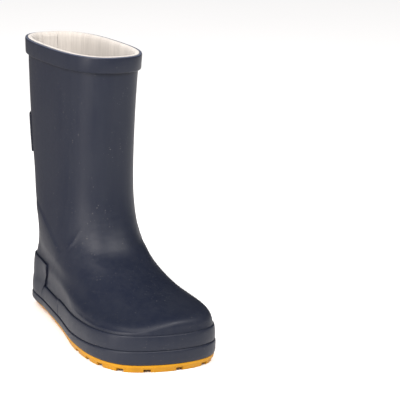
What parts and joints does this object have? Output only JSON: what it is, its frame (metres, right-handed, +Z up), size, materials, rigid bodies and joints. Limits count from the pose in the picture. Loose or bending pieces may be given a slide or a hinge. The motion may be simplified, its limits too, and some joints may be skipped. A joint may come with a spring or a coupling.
{
  "type": "rubber rain boot",
  "caption": "Child's short rubber rain boot, right foot: lofted upper, cloth lining, collar band, layered foxing, raised heel panel and treaded outsole.",
  "frame": {"origin": "on the ground under the centre of the boot's bounding box", "axes": "+Z up, +X towards the toe, +Y towards the inner side of the foot"},
  "size_m": [0.2201, 0.093, 0.212],
  "materials": {
    "outsole_rubber": "matte moulded rubber",
    "navy_rubber": "matte rubber",
    "upper_rubber": "matte rubber with a soft sheen",
    "collar_rubber": "matte rubber",
    "trim_rubber": "matte rubber",
    "lining_cloth": "woven cotton",
    "tape_cloth": "woven tape",
    "stiffener_board": "stiffened cloth",
    "inner_rubber": "calendered rubber",
    "insole_board": "pressed fibre board",
    "filler_foam": "sponge rubber",
    "footbed_foam": "soft foam",
    "footbed_cloth": "woven cotton"
  },
  "bodies": {
    "foot": {"outsole": "outsole_rubber", "lower_foxing": "navy_rubber", "upper_foxing_front": "navy_rubber", "upper_foxing_rear": "navy_rubber", "heel_panel": "trim_rubber", "foot_shell": "upper_rubber", "ankle_shell": "upper_rubber", "foot_lining": "lining_cloth", "ankle_lining": "lining_cloth", "toe_stiffener": "stiffener_board", "heel_counter": "stiffener_board", "side_stiffener_outer": "inner_rubber", "side_stiffener_inner": "inner_rubber", "ankle_stiffener": "inner_rubber", "insole_board": "insole_board", "midsole_filler": "filler_foam", "heel_filler": "filler_foam", "footbed_foam": "footbed_foam", "footbed_cover": "footbed_cloth"},
    "shaft": {"leg_shell": "upper_rubber", "collar_band": "collar_rubber", "back_patch": "trim_rubber", "leg_lining": "lining_cloth", "lining_tape": "tape_cloth"}
  },
  "joints": [
    {"name": "ankle_flex", "type": "hinge", "parent": "foot", "child": "shaft", "pos_m": [-0.03525, 0.00129, 0.09], "axis": [0, 1, 0], "range_deg": [-10, 20], "stiffness_Nm_per_rad": 2.5, "deforming": ["ankle_shell", "ankle_lining"]}
  ]
}
